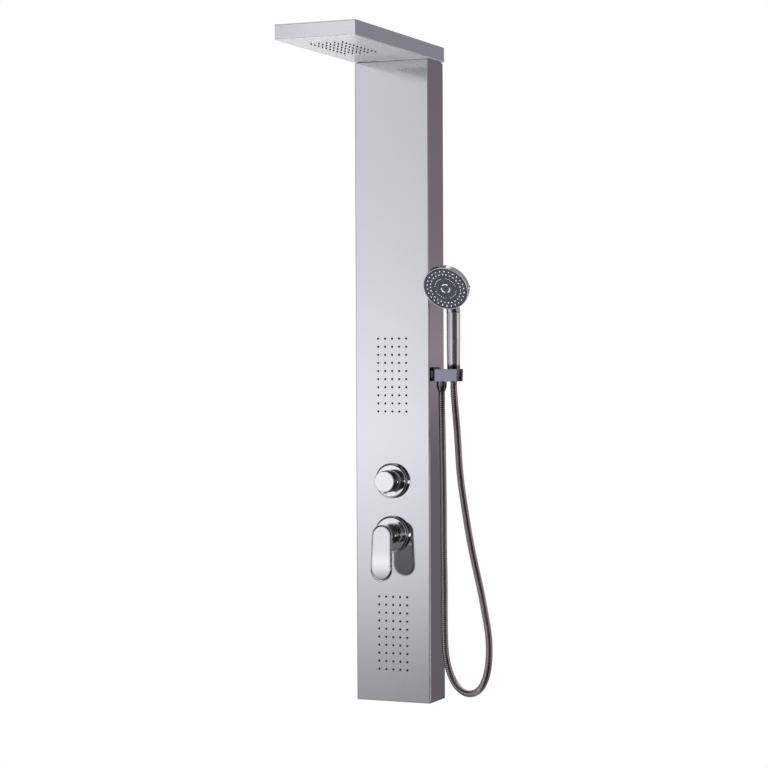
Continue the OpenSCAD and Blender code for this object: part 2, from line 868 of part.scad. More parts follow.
// Children in the spray face's own frame: its middle at the origin, +Z out of the face
module at_face() {
    translate([handset_x, face_y, face_z]) rotate([90 + face_tilt, 0, 0]) children();
}

module hose_cone_nut() {
    placed() translate([handset_x, handset_y, cone_bottom]) color("silver") rotate_extrude() polygon([
        [4, 0], [cone_low_r, 0], [cone_top_r, cone_top - cone_bottom],
        [10.4, cone_top - cone_bottom], [10.4, 12], [4, 12]
    ]);
}

module handset_handle() {
    placed() translate([handset_x, handset_y, 0]) color("silver") rotate_extrude() polygon([
        [6, cone_bottom + 13], [10.3, cone_bottom + 13], [10.3, cone_top], [13, cone_top],
        [13.4, cone_top + 3], [handle_r, 730], [handle_r, handle_top], [6, handle_top]
    ]);
}

// The bell behind the face and the neck between it and the handle, with a seat for the rim
module handset_shell() {
    collar = ring_depth + ring_gap;
    neck_r = 13.6;
    $fn = 48;
    placed() color("silver") difference() {
        union() {
            difference() {
                union() {
                    hull() {
                        at_face() translate([0, 0, -collar - 2]) cylinder(r = rim_r, h = 3);
                        at_face() translate([0, 0, -16]) cylinder(r = 43, h = 0.2);
                        at_face() translate([0, 0, -21]) cylinder(r = 35, h = 0.2);
                        at_face() translate([0, 0, -25]) cylinder(r = 20, h = 0.2);
                    }
                    hull() {
                        translate([handset_x, handset_y, handle_top]) cylinder(r = handle_r, h = 2);
                        at_face() translate([0, -41, -22]) sphere(r = neck_r);
                        at_face() translate([0, -20, -17]) sphere(r = neck_r - 2);
                    }
                }
                hull() at_face() translate([0, 0, -collar]) cylinder(r = rim_r + 2 * ring_gap, h = 30);
            }
            at_face() translate([0, 0, -collar - 1]) cylinder(r = face_r, h = collar - 2);
        }
        at_face() translate([0, 0, -14]) cylinder(r = face_r - 3.5, h = 20);
    }
}

module handset_core() {
    placed() at_face() translate([0, 0, -13.8]) color("dimgray") difference() {
        cylinder(r = face_r - 3.7, h = 9.2);
        for (r = [[14, 3], [23, 3], [33, 7]]) translate([0, 0, 3]) difference() {
            cylinder(r = r[0] + r[1], h = 10);
            translate([0, 0, -1]) cylinder(r = r[0], h = 12);
        }
    }
}

// Children at each nozzle of the two outer rings of the spray face
module at_nozzles() {
    for (ring = [[0.86 * face_r, 0], [0.705 * face_r, 0.5]], k = [0 : nozzle_ring - 1])
        rotate([0, 0, (k + ring[1]) * 360 / nozzle_ring]) translate([ring[0], 0, 0]) children();
}

module handset_nozzle_mat() {
    placed() at_face() color("white") {
        translate([0, 0, -4.5]) cylinder(r = face_r - 4, h = 1.5);
        at_nozzles() translate([0, 0, -3.2]) cylinder(r = nozzle_r, h = 4.2);
    }
}

module handset_face() {
    placed() at_face() color("darkslategray") difference() {
        translate([0, 0, -3]) cylinder(r = face_r, h = 3);
        at_nozzles() translate([0, 0, -4]) cylinder(r = nozzle_r + 0.1, h = 5);
    }
}

// The rim that turns to choose the spray, with a thumb tab at the viewer's right
module selector_ring() {
    placed() at_face() color("silver") {
        rotate_extrude() polygon([
            [face_r + ring_gap, -ring_depth], [rim_r, -ring_depth], [rim_r, -0.3], [rim_r - 0.7, 0.5],
            [face_r + ring_gap, 0.5]
        ]);
        translate([rim_r - 0.8, 0, -ring_depth + 1]) linear_extrude(height = ring_depth - 2)
            polygon([[0, -6], [4.3, -0.8], [4.3, 0.8], [0, 6]]);
    }
}

front_panel();
left_side_panel();
right_side_panel();
panel_gaskets();
bottom_cap();
head_saddle();
upper_cross_rail();
lower_cross_rail();
upper_wall_bracket();
lower_wall_bracket();
head_top_cover();
head_front_plate();
head_left_plate();
head_right_plate();
head_back_plate();
rain_spray_plate();
rain_nozzle_mat();
rain_manifold();
rain_inlet_elbow();
upper_jet_mat();
upper_jet_manifold();
lower_jet_mat();
lower_jet_manifold();
mixer_valve_body();
mixer_cartridge();
mixer_retaining_nut();
mixer_escutcheon();
mixer_collar();
mixer_spindle();
mixer_pin();
mixer_lever();
inlet_strainers();
diverter_valve_body();
diverter_cartridge();
diverter_retaining_nut();
diverter_escutcheon();
diverter_spindle();
diverter_knob();
diverter_grub_screw();
link_pipe();
riser_pipe();
jet_tee();
upper_jet_pipe();
lower_jet_pipe();
hand_shower_pipe();
pipe_nuts();
holder_base();
handset_cradle();
outlet_nipple();
outlet_nut();
shower_hose();
hose_cone_nut();
handset_handle();
handset_shell();
handset_core();
handset_nozzle_mat();
handset_face();
selector_ring();
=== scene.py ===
"""Looks of the rainfall shower column: materials, hose, hand-shower details, light and camera.

Metres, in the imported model's frame: X to the viewer's right, Y towards the wall, Z up.
"""

import json
import math

import bmesh
import bpy
import numpy as np
from mathutils import Matrix, Vector

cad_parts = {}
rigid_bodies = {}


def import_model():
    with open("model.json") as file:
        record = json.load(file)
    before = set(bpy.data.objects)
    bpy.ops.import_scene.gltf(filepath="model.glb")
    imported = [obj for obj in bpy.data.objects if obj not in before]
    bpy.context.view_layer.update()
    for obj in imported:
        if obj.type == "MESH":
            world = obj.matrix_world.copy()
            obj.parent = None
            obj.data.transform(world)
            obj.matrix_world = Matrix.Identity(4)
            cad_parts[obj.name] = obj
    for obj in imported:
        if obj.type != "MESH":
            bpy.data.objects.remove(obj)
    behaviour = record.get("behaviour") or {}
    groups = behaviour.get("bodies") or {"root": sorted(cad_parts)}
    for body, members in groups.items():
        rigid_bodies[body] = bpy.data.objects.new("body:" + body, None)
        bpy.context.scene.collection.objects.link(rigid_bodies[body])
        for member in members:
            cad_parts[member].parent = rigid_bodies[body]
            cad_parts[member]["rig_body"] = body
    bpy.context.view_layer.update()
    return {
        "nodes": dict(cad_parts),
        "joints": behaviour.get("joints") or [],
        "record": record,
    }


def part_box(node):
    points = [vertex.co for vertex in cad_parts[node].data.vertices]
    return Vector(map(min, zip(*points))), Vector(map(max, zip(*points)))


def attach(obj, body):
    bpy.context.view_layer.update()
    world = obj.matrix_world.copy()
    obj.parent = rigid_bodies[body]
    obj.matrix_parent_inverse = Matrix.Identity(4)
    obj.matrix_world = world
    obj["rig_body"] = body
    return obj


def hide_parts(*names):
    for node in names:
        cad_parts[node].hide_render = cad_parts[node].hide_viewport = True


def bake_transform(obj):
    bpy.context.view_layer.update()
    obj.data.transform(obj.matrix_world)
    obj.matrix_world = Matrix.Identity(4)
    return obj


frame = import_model()
NODES = frame["nodes"]
JOINTS = {joint["name"]: joint for joint in frame["joints"]}
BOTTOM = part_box("front_panel")[0].z
SLOT_OF = {part["node"]: part["material_slot"] for part in frame["record"]["subparts"]}


# ---- Camera ----

# From a camera fitted outside this script to the corners of the casing and the head
CAMERA_PLACE = Vector((1.8010, -4.2816, 0.7016 + BOTTOM))
CAMERA_YAW = math.radians(23.41)
CAMERA_PITCH = math.radians(-0.771)
CAMERA_ROLL = math.radians(-0.235)
LENS_MM = 106.53
SENSOR_MM = 36.0


def add_camera():
    """A long lens to the right of the column, a little above its middle."""
    data = bpy.data.cameras.new("camera")
    data.sensor_width = SENSOR_MM
    data.lens = LENS_MM
    data.clip_end = 60.0
    camera = bpy.data.objects.new("camera", data)
    bpy.context.scene.collection.objects.link(camera)
    turn = (
        Matrix.Rotation(CAMERA_YAW, 4, "Z")
        @ Matrix.Rotation(math.pi / 2 + CAMERA_PITCH, 4, "X")
        @ Matrix.Rotation(CAMERA_ROLL, 4, "Z")
    )
    camera.matrix_world = Matrix.Translation(CAMERA_PLACE) @ turn
    bpy.context.scene.camera = camera


# ---- Node trees ----


def add_node(tree, kind, **values):
    """A shader node with its properties and its unlinked inputs set."""
    node = tree.nodes.new(kind)
    for name, value in values.items():
        if name in node.inputs:
            node.inputs[name].default_value = value
        else:
            setattr(node, name, value)
    return node


def ramp(tree, factor, stops, mode="LINEAR"):
    """A colour ramp of grey levels or colours over the factor."""
    node = tree.nodes.new("ShaderNodeValToRGB")
    node.color_ramp.interpolation = mode
    elements = node.color_ramp.elements
    while len(elements) > 1:
        elements.remove(elements[0])
    for index, (place, value) in enumerate(stops):
        element = elements[0] if index == 0 else elements.new(place)
        element.position = place
        colour = (value, value, value) if isinstance(value, (int, float)) else value
        element.color = (*colour, 1.0)
    tree.links.new(factor, node.inputs["Fac"])
    return node.outputs["Color"]


def math_node(tree, operation, first, second):
    """One Math node of two values, either of which may be a link."""
    node = tree.nodes.new("ShaderNodeMath")
    node.operation = operation
    for index, value in enumerate((first, second)):
        if isinstance(value, (int, float)):
            node.inputs[index].default_value = value
        else:
            tree.links.new(value, node.inputs[index])
    return node.outputs[0]


def colour_node(tree, operation, first, second):
    """One Vector Math node of two colours, given as links."""
    node = tree.nodes.new("ShaderNodeVectorMath")
    node.operation = operation
    tree.links.new(first, node.inputs[0])
    tree.links.new(second, node.inputs[1])
    return node.outputs[0]


def noise(tree, stretch, scale=1.0, detail=3.0, roughness=0.55):
    """Noise over the object's own coordinates, stretched by a scale along each axis."""
    place = tree.nodes.new("ShaderNodeTexCoord").outputs["Object"]
    mapping = tree.nodes.new("ShaderNodeMapping")
    mapping.inputs["Scale"].default_value = stretch
    tree.links.new(place, mapping.inputs["Vector"])
    node = add_node(tree, "ShaderNodeTexNoise", Scale=scale, Detail=detail, Roughness=roughness)
    tree.links.new(mapping.outputs["Vector"], node.inputs["Vector"])
    return node.outputs["Fac"]


def between(tree, factor, low, high, spread=(0.3, 0.7)):
    """The factor mapped from its usual spread to a range of values."""
    node = tree.nodes.new("ShaderNodeMapRange")
    node.inputs["From Min"].default_value = spread[0]
    node.inputs["From Max"].default_value = spread[1]
    node.inputs["To Min"].default_value = low
    node.inputs["To Max"].default_value = high
    tree.links.new(factor, node.inputs["Value"])
    return node.outputs["Result"]


def bump(tree, shader, height, strength, distance):
    """Relief on the shader's normal, with its depth in metres. A second call adds to the first."""
    node = add_node(tree, "ShaderNodeBump", Strength=strength, Distance=distance)
    tree.links.new(height, node.inputs["Height"])
    normal = shader.inputs["Normal"]
    if normal.links:
        tree.links.new(normal.links[0].from_socket, node.inputs["Normal"])
    tree.links.new(node.outputs["Normal"], normal)


def new_material(name, **settings):
    """An empty principled material, its tree and its shader."""
    material = bpy.data.materials.new(name)
    material.use_nodes = True
    tree = material.node_tree
    shader = tree.nodes["Principled BSDF"]
    for socket, value in settings.items():
        shader.inputs[socket.replace("_", " ")].default_value = value
    return material, tree, shader


def tinted(tree, shader, factor, dark, light):
    """Base colour that varies between two colours with the factor."""
    colours = ramp(tree, factor, [(0.3, dark), (0.7, light)])
    tree.links.new(colours, shader.inputs["Base Color"])


# ---- Materials: one function for each of the record's slots, and six finishes of their own, two with painted shade and one with a painted reflection ----

# Noise cells per metre, across the brushed lines and along them
GRAIN_ACROSS = 2600.0
GRAIN_ALONG = 22.0


def steel(name, dark, light, rough, grain, depth=0.00002, metallic=1.0):
    """Sheet steel with a fine grain along one axis and broad, faint unevenness."""
    material, tree, shader = new_material(name, Metallic=metallic)
    lines = noise(tree, grain, detail=2.0)
    broad = noise(tree, (3.0, 3.0, 1.5), detail=2.0)
    tinted(tree, shader, lines, dark, light)
    value = math_node(tree, "ADD", between(tree, lines, *rough), between(tree, broad, -0.01, 0.015))
    tree.links.new(value, shader.inputs["Roughness"])
    bump(tree, shader, lines, 0.25, depth)
    return material


def brushed_steel():
    grain = (GRAIN_ACROSS, GRAIN_ACROSS, GRAIN_ALONG)
    return steel("brushed_steel", (0.775, 0.775, 0.80), (0.815, 0.815, 0.835), (0.06, 0.10), grain)


def head_steel():
    grain = (GRAIN_ALONG, GRAIN_ACROSS, GRAIN_ACROSS)
    return steel("head_steel", (0.84, 0.84, 0.85), (0.94, 0.94, 0.95), (0.05, 0.09), grain, 0.00003)


# Less than a metal: as plain steel, the underside comes out darker than in the photo
UNDERSIDE_METALLIC = 0.40


def spray_steel():
    """Satin steel of the head's underside."""
    grain = (GRAIN_ALONG, GRAIN_ACROSS, GRAIN_ACROSS)
    return steel(
        "spray_steel", (0.82, 0.82, 0.84), (0.90, 0.90, 0.92), (0.24, 0.32), grain, 0.00003,
        metallic=UNDERSIDE_METALLIC
    )


# Steel of the head's sides and back: its blue tint and its lightness are painted reflection of the room
# around them.
def head_side_steel():
    grain = (GRAIN_ACROSS, GRAIN_ALONG, GRAIN_ACROSS)
    return steel("head_side_steel", (0.80, 0.88, 0.97), (0.86, 0.94, 1.0), (0.12, 0.18), grain)


def side_steel():
    grain = (GRAIN_ACROSS, GRAIN_ACROSS, GRAIN_ALONG)
    return steel("side_steel", (0.49, 0.46, 0.475), (0.54, 0.505, 0.52), (0.03, 0.06), grain)


def cradle_chrome():
    """Satin chrome of the hand shower's cradle, greyer than the polished parts."""
    grain = (GRAIN_ALONG, GRAIN_ACROSS, GRAIN_ACROSS)
    return steel("cradle_chrome", (0.27, 0.28, 0.315), (0.33, 0.34, 0.38), (0.09, 0.14), grain)


def shade_darkened_chrome():
    """Chrome of the hose's nuts, darkened all over as painted shade, with random marks."""
    material, tree, shader = new_material("shade_darkened_chrome", Metallic=1.0)
    marks = noise(tree, (90.0, 90.0, 90.0), detail=5.0)
    tinted(tree, shader, marks, (0.20, 0.185, 0.19), (0.52, 0.49, 0.50))
    tree.links.new(between(tree, marks, 0.08, 0.20), shader.inputs["Roughness"])
    bump(tree, shader, marks, 0.15, 0.00006)
    return material


def dark_chrome():
    """Chrome with painted shade: its near-black colour stands in for the shade of the cradle."""
    material, tree, shader = new_material("dark_chrome", Metallic=1.0)
    marks = noise(tree, (60.0, 60.0, 25.0), detail=4.0)
    tinted(tree, shader, marks, (0.05, 0.05, 0.055), (0.09, 0.09, 0.10))
    tree.links.new(between(tree, marks, 0.10, 0.18), shader.inputs["Roughness"])
    return material


def frame_steel():
    """Plain stainless sheet: mill finish with broad cloudy patches."""
    grain = (700.0, 700.0, 90.0)
    return steel("frame_steel", (0.50, 0.50, 0.51), (0.62, 0.62, 0.63), (0.28, 0.40), grain)


def machined_steel():
    grain = (500.0, 3000.0, 500.0)
    return steel("machined_steel", (0.46, 0.46, 0.47), (0.58, 0.58, 0.59), (0.20, 0.34), grain)


def chrome():
    """Polished chrome with faint water marks and wiping traces."""
    material, tree, shader = new_material("chrome", Metallic=1.0)
    marks = noise(tree, (60.0, 60.0, 25.0), detail=4.0)
    fine = noise(tree, (900.0, 900.0, 900.0), detail=2.0)
    tinted(tree, shader, marks, (0.86, 0.865, 0.88), (0.90, 0.905, 0.91))
    value = math_node(tree, "ADD", between(tree, marks, 0.03, 0.075), between(tree, fine, 0.0, 0.012))
    tree.links.new(value, shader.inputs["Roughness"])
    bump(tree, shader, marks, 0.10, 0.00004)
    return material


RIB_HEIGHT = "rib_height"


def hose_groove(tree):
    """How near each point of the hose is to a rib's crown, from 0 to 1; 1 on pieces without ribs."""
    height = tree.nodes.new("ShaderNodeAttribute")
    height.attribute_name = RIB_HEIGHT
    return math_node(tree, "SUBTRACT", 1.0, height.outputs["Fac"])


def hose_steel():
    """Interlocked hose: bright crowns, painted shade in the grooves, and a pinkish tint that is a painted
    reflection of the bathroom.
    """
    material, tree, shader = new_material("hose_steel", Metallic=1.0)
    grime = noise(tree, (240.0, 240.0, 240.0), detail=4.0)
    groove = hose_groove(tree)
    # The pinkish tint of the crowns is a painted reflection of the bathroom; the noise varies its tone at
    # random.
    crown = ramp(tree, grime, [(0.3, (0.66, 0.57, 0.57)), (0.7, (0.84, 0.75, 0.75))])
    # Painted shade: the colour darkens towards the bottom of each groove.
    groove_shade = ramp(tree, groove, [(0.0, (0.10, 0.08, 0.08)), (0.55, (0.45, 0.42, 0.42)), (0.9, (1.0, 1.0, 1.0))])
    tree.links.new(colour_node(tree, "MULTIPLY", crown, groove_shade), shader.inputs["Base Color"])
    tree.links.new(between(tree, grime, 0.03, 0.09), shader.inputs["Roughness"])
    bump(tree, shader, grime, 0.10, 0.00003)
    return material


def plastic(name, dark, light, rough, relief, scale=300.0, **settings):
    """A moulded plastic or rubber with a fine skin texture."""
    material, tree, shader = new_material(name, **settings)
    skin = noise(tree, (scale, scale, scale), detail=4.0)
    tinted(tree, shader, skin, dark, light)
    tree.links.new(between(tree, skin, *rough), shader.inputs["Roughness"])
    bump(tree, shader, skin, 0.3, relief)
    return material


def gasket_foam():
    return plastic("gasket_foam", (0.012, 0.012, 0.013), (0.035, 0.034, 0.034), (0.8, 0.95), 0.0003, 900.0)


def nozzle_silicone():
    return plastic("nozzle_silicone", (0.006, 0.006, 0.008), (0.012, 0.012, 0.014), (0.6, 0.75), 0.00005)


def white_silicone():
    return plastic("white_silicone", (0.66, 0.68, 0.72), (0.82, 0.83, 0.86), (0.35, 0.5), 0.00004)


def manifold_plastic():
    return plastic("manifold_plastic", (0.72, 0.72, 0.69), (0.80, 0.80, 0.775), (0.35, 0.5), 0.00008)


def cartridge_plastic():
    return plastic("cartridge_plastic", (0.09, 0.095, 0.105), (0.13, 0.135, 0.15), (0.35, 0.5), 0.00006)


def face_plastic():
    return plastic(
        "face_plastic", (0.034, 0.032, 0.056), (0.046, 0.043, 0.072), (0.16, 0.24), 0.00002, 500.0,
        Coat_Weight=0.4, Coat_Roughness=0.08
    )


def cast_metal(name, dark, light, stain, rough, scale):
    """Copper or brass with a fine skin and darker oxidised patches."""
    material, tree, shader = new_material(name, Metallic=1.0)
    patches = noise(tree, (26.0, 26.0, 18.0), detail=5.0)
    skin = noise(tree, (scale, scale, scale), detail=3.0)
    colours = ramp(tree, patches, [(0.28, stain), (0.45, dark), (0.72, light)])
    tree.links.new(colours, shader.inputs["Base Color"])
    value = math_node(
        tree, "ADD", between(tree, patches, rough[1], rough[0]), between(tree, skin, -0.03, 0.03)
    )
    tree.links.new(value, shader.inputs["Roughness"])
    bump(tree, shader, skin, 0.25, 0.00006)
    return material


def copper_pipe():
    return cast_metal(
        "copper_pipe", (0.70, 0.34, 0.20), (0.84, 0.46, 0.30), (0.36, 0.17, 0.11), (0.18, 0.36), 500.0
    )


def valve_brass():
    return cast_metal(
        "valve_brass", (0.66, 0.48, 0.22), (0.80, 0.62, 0.32), (0.40, 0.28, 0.13), (0.24, 0.42), 700.0
    )


MATERIALS = {
    make.__name__: make()
    for make in (
        brushed_steel, side_steel, gasket_foam, frame_steel, nozzle_silicone, manifold_plastic,
        copper_pipe, valve_brass, cartridge_plastic, chrome, machined_steel, hose_steel,
        face_plastic, white_silicone, head_steel, head_side_steel, cradle_chrome, dark_chrome,
        spray_steel, shade_darkened_chrome,
    )
}
# Pieces whose finish differs from their slot's, so that they read as in the photo; some of these colours are
# painted shade and painted reflection
HEAD_PLATES = ("head_top_cover", "head_front_plate")
HEAD_SIDES = ("head_left_plate", "head_right_plate", "head_back_plate")
FINISH_AND_PAINTED_LIGHT = {
    **{name: "head_steel" for name in HEAD_PLATES},
    **{name: "head_side_steel" for name in HEAD_SIDES},
    "rain_spray_plate": "spray_steel",
    "handset_cradle": "cradle_chrome",
    "holder_base": "dark_chrome",
    "outlet_nut": "shade_darkened_chrome",
    "hose_cone_nut": "shade_darkened_chrome",
}


# ---- Hose ----

# The route of the hose in part.scad, in metres above the casing's bottom edge
HOSE_ROUTE = [
    (0.098, -0.057, 0.627), (0.098, -0.057, 0.596), (0.099, -0.057, 0.545), (0.100, -0.057, 0.480),
    (0.101, -0.057, 0.400), (0.101, -0.057, 0.320), (0.102, -0.057, 0.240), (0.102, -0.057, 0.175),
    (0.103, -0.057, 0.120), (0.108, -0.060, 0.086), (0.119, -0.066, 0.058), (0.136, -0.076, 0.038),
    (0.157, -0.088, 0.028), (0.179, -0.100, 0.029), (0.198, -0.110, 0.040), (0.211, -0.116, 0.059),
    (0.219, -0.120, 0.084), (0.222, -0.121, 0.115), (0.220, -0.120, 0.150), (0.212, -0.118, 0.192),
    (0.202, -0.115, 0.236), (0.180, -0.105, 0.314), (0.165, -0.097, 0.378), (0.148, -0.085, 0.461),
    (0.137, -0.072, 0.545), (0.127, -0.060, 0.605), (0.124, -0.057, 0.632), (0.124, -0.057, 0.647),
]
# Fitted outside this script
HOSE_DIAMETER = 0.014
RIB_PITCH = 0.0042
GROOVE_DEPTH = 0.0013
FERRULE_LENGTH = 0.009
FERRULE_INSET = 0.0003
FERRULE_EDGE = 0.0006
RIB_GAP = 0.0002
# The ribs take a little less than their pitch, so that the last one ends short of the far ferrule
RIB_FIT = 0.9997
HOSE_SIDES = 28
# Shares of one rib's pitch and how deep the profile lies there, as a share of the groove's depth
RIB_PROFILE = ((0.00, 1.0), (0.07, 0.45), (0.12, 0.06), (0.17, 0.0), (0.83, 0.0), (0.88, 0.06), (0.93, 0.45))


def smooth_route(points, steps):
    """Catmull-Rom points through the route."""
    last = len(points) - 1
    rows = [np.array(p) for p in points]
    found = []
    for i in range(last):
        a, b, c, d = (rows[max(0, min(last, i + k))] for k in (-1, 0, 1, 2))
        for step in range(steps):
            t = step / steps
            second, third = 2 * a - 5 * b + 4 * c - d, 3 * b - a - 3 * c + d
            found.append(0.5 * (2 * b + (c - a) * t + second * t**2 + third * t**3))
    found.append(rows[-1])
    return np.array(found)


def lengths_along(line):
    """How far along the line each of its points is."""
    return np.concatenate(([0.0], np.cumsum(np.linalg.norm(np.diff(line, axis=0), axis=1))))


def sweep_rings(line, places, radii, sides):
    """A closed tube's vertices and faces along the line, with a radius at each place along it."""
    along = lengths_along(line)
    centres = np.column_stack([np.interp(places, along, line[:, k]) for k in range(3)])
    ahead = np.column_stack([np.interp(np.array(places) + 0.001, along, line[:, k]) for k in range(3)])
    behind = np.column_stack([np.interp(np.array(places) - 0.001, along, line[:, k]) for k in range(3)])
    headings = ahead - behind
    headings /= np.linalg.norm(headings, axis=1)[:, None]
    side = np.cross(headings[0], (0.0, 1.0, 0.0))
    vertices = []
    for centre, heading, radius in zip(centres, headings, radii):
        side = side - heading * np.dot(side, heading)
        side /= np.linalg.norm(side)
        other = np.cross(heading, side)
        for k in range(sides):
            angle = 2 * math.pi * k / sides
            vertices.append(centre + radius * (math.cos(angle) * side + math.sin(angle) * other))
    rings = len(places)
    faces = [
        (i * sides + k, i * sides + (k + 1) % sides, (i + 1) * sides + (k + 1) % sides, (i + 1) * sides + k)
        for i in range(rings - 1)
        for k in range(sides)
    ]
    faces.append(tuple(reversed(range(sides))))
    faces.append(tuple((rings - 1) * sides + k for k in range(sides)))
    return vertices, faces


def mesh_object(name, vertices, faces, material):
    """A smooth-shaded mesh with one material."""
    mesh = bpy.data.meshes.new(name)
    mesh.from_pydata([tuple(v) for v in vertices], [], faces)
    mesh.polygons.foreach_set("use_smooth", [True] * len(mesh.polygons))
    mesh.materials.append(material)
    mesh.update()
    piece = bpy.data.objects.new(name, mesh)
    bpy.context.scene.collection.objects.link(piece)
    return piece


def add_hose():
    """The ribbed hose, between two smooth ferrules."""
    line = smooth_route(HOSE_ROUTE, 24) + np.array([0.0, 0.0, BOTTOM])
    total = lengths_along(line)[-1]
    crown = HOSE_DIAMETER / 2
    ferrule = crown - FERRULE_INSET
    places = [0.0, FERRULE_LENGTH - FERRULE_EDGE, FERRULE_LENGTH]
    radii = [ferrule, ferrule, ferrule - GROOVE_DEPTH]
    ribs = int((total - 2 * FERRULE_LENGTH) / RIB_PITCH)
    pitch = (total - 2 * FERRULE_LENGTH) / ribs
    for rib in range(ribs):
        for share, depth in RIB_PROFILE:
            places.append(FERRULE_LENGTH + RIB_GAP + (rib + share) * pitch * RIB_FIT)
            radii.append(crown - depth * GROOVE_DEPTH)
    far_edge = total - FERRULE_LENGTH + 2 * RIB_GAP
    places += [far_edge, far_edge + FERRULE_EDGE, total]
    radii += [ferrule - GROOVE_DEPTH, ferrule, ferrule]
    vertices, faces = sweep_rings(line, places, radii, HOSE_SIDES)
    hose = mesh_object("flexible_hose", vertices, faces, MATERIALS["hose_steel"])
    depth = hose.data.attributes.new(RIB_HEIGHT, "FLOAT", "POINT")
    sunk = np.repeat((crown - np.array(radii)) / GROOVE_DEPTH, HOSE_SIDES)
    depth.data.foreach_set("value", np.clip(sunk, 0.0, 1.0))
    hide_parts("shower_hose")
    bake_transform(hose)


# ---- CAD nodes ----

# Widths of the rounded edges; a node that isn't named keeps the CAD's edges
BEVELS = {
    "front_panel": 0.0018, "left_side_panel": 0.0008, "right_side_panel": 0.0008, "bottom_cap": 0.0006,
    "head_top_cover": 0.0006, "head_front_plate": 0.0004, "head_left_plate": 0.0004,
    "head_right_plate": 0.0004, "head_back_plate": 0.0004, "rain_spray_plate": 0.0006,
    "mixer_escutcheon": 0.0006, "diverter_escutcheon": 0.0006,
    "diverter_knob": 0.0006, "holder_base": 0.0010, "handset_cradle": 0.0010, "outlet_nut": 0.0004,
    "hose_cone_nut": 0.0004, "selector_ring": 0.0006, "handset_face": 0.0003, "mixer_collar": 0.0004,
    "mixer_valve_body": 0.0008, "diverter_valve_body": 0.0008, "jet_tee": 0.0006, "pipe_nuts": 0.0004,
    "upper_jet_manifold": 0.0008, "lower_jet_manifold": 0.0008, "rain_manifold": 0.0008,
    "upper_wall_bracket": 0.0004, "lower_wall_bracket": 0.0004, "upper_cross_rail": 0.0004,
    "lower_cross_rail": 0.0004, "head_saddle": 0.0004,
}
# Only edges that are at least this sharp and this long are rounded
SHARP = math.radians(35)
LONG_EDGE = 0.004
BEVEL_STEPS, FOLD_STEPS = 2, 4
CUT_EDGE_WEIGHT = 0.4


def mark_long_edges(mesh, weight_of):
    """Weights for the bevel: only sharp edges that are long, so that rows of small holes stay crisp."""
    joined = bmesh.new()
    joined.from_mesh(mesh)
    bmesh.ops.remove_doubles(joined, verts=joined.verts, dist=1e-6)
    sharp = set()
    for edge in joined.edges:
        if len(edge.link_faces) == 2 and edge.calc_face_angle(0.0) > SHARP and edge.calc_length() > LONG_EDGE:
            ends = tuple(sorted(tuple(round(c, 6) for c in v.co) for v in edge.verts))
            sharp.add(ends)
    joined.free()
    places = [tuple(round(c, 6) for c in v.co) for v in mesh.vertices]
    edges = [tuple(sorted((places[e.vertices[0]], places[e.vertices[1]]))) for e in mesh.edges]
    weights = [weight_of(ends) if ends in sharp else 0.0 for ends in edges]
    attribute = mesh.attributes.new("bevel_weight_edge", "FLOAT", "EDGE")
    attribute.data.foreach_set("value", weights)


def full_weight(ends):
    """Every long edge is rounded alike."""
    return 1.0


def folded_weight(ends):
    """The front panel's two folds are rounder than its cut edges."""
    low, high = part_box("front_panel")
    on_fold = all(abs(end[1] - low.y) < 1e-4 and abs(end[0]) > high.x - 1e-4 for end in ends)
    return 1.0 if on_fold else CUT_EDGE_WEIGHT


# Farther than this from the knob's axis there is only its pointer
POINTER_REACH = 0.0236


def darken_pointer(mesh):
    """The pointer that stands out of the knob's flank gets the chrome darkened with painted shade."""
    axis = JOINTS["diverter_turn"]["pos_m"]
    mesh.materials.append(MATERIALS["shade_darkened_chrome"])
    beyond = [math.hypot(v.co.x - axis[0], v.co.z - axis[2]) > POINTER_REACH for v in mesh.vertices]
    for face in mesh.polygons:
        face.material_index = int(any(beyond[i] for i in face.vertices))


def finish_node(name, piece):
    """Material, welded corners and small rounded edges for one CAD node."""
    piece.data.materials.clear()
    piece.data.materials.append(MATERIALS[FINISH_AND_PAINTED_LIGHT.get(name, SLOT_OF[name])])
    if name == "diverter_knob":
        darken_pointer(piece.data)
    width = BEVELS.get(name)
    if width is None:
        return
    mark_long_edges(piece.data, folded_weight if name == "front_panel" else full_weight)
    weld = piece.modifiers.new("weld", "WELD")
    weld.merge_threshold = 1e-6
    bevel = piece.modifiers.new("bevel", "BEVEL")
    bevel.width = width
    bevel.segments = FOLD_STEPS if name == "front_panel" else BEVEL_STEPS
    bevel.limit_method = "WEIGHT"
    bevel.use_clamp_overlap = False
    bevel.harden_normals = False
    weighted = piece.modifiers.new("weighted_normal", "WEIGHTED_NORMAL")
    weighted.keep_sharp = True
    weighted.weight = 80


# ---- Hand shower ----

FACE_JOINT = JOINTS["spray_select"]
FACE_CENTRE = Vector(FACE_JOINT["pos_m"])
FACE_NORMAL = Vector(FACE_JOINT["axis"]).normalized()
FACE_RADIUS = (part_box("handset_face")[1].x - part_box("handset_face")[0].x) / 2


def face_matrix():
    """The frame of the spray face: X to the viewer's right, Y up the face, Z out of it."""
    right = Vector((1.0, 0.0, 0.0))
    up = FACE_NORMAL.cross(right)
    turn = Matrix((right, up, FACE_NORMAL)).transposed().to_4x4()
    return Matrix.Translation(FACE_CENTRE) @ turn


def revolve(profile, segments, start=0.0, sweep=2 * math.pi):
    """Vertices and faces of a closed profile of radius and height, turned about Z over a sweep."""
    closed = abs(sweep - 2 * math.pi) < 1e-6
    steps = segments if closed else segments + 1
    count = len(profile)
    vertices = [
        (r * math.cos(start + sweep * i / segments), r * math.sin(start + sweep * i / segments), z)
        for i in range(steps)
        for r, z in profile
    ]
    faces = [
        (
            i * count + k,
            ((i + 1) % steps) * count + k,
            ((i + 1) % steps) * count + (k + 1) % count,
            i * count + (k + 1) % count,
        )
        for i in range(segments)
        for k in range(count)
    ]
    if not closed:
        faces.append(tuple(range(count)))
        faces.append(tuple(reversed(range((steps - 1) * count, steps * count))))
    return vertices, faces


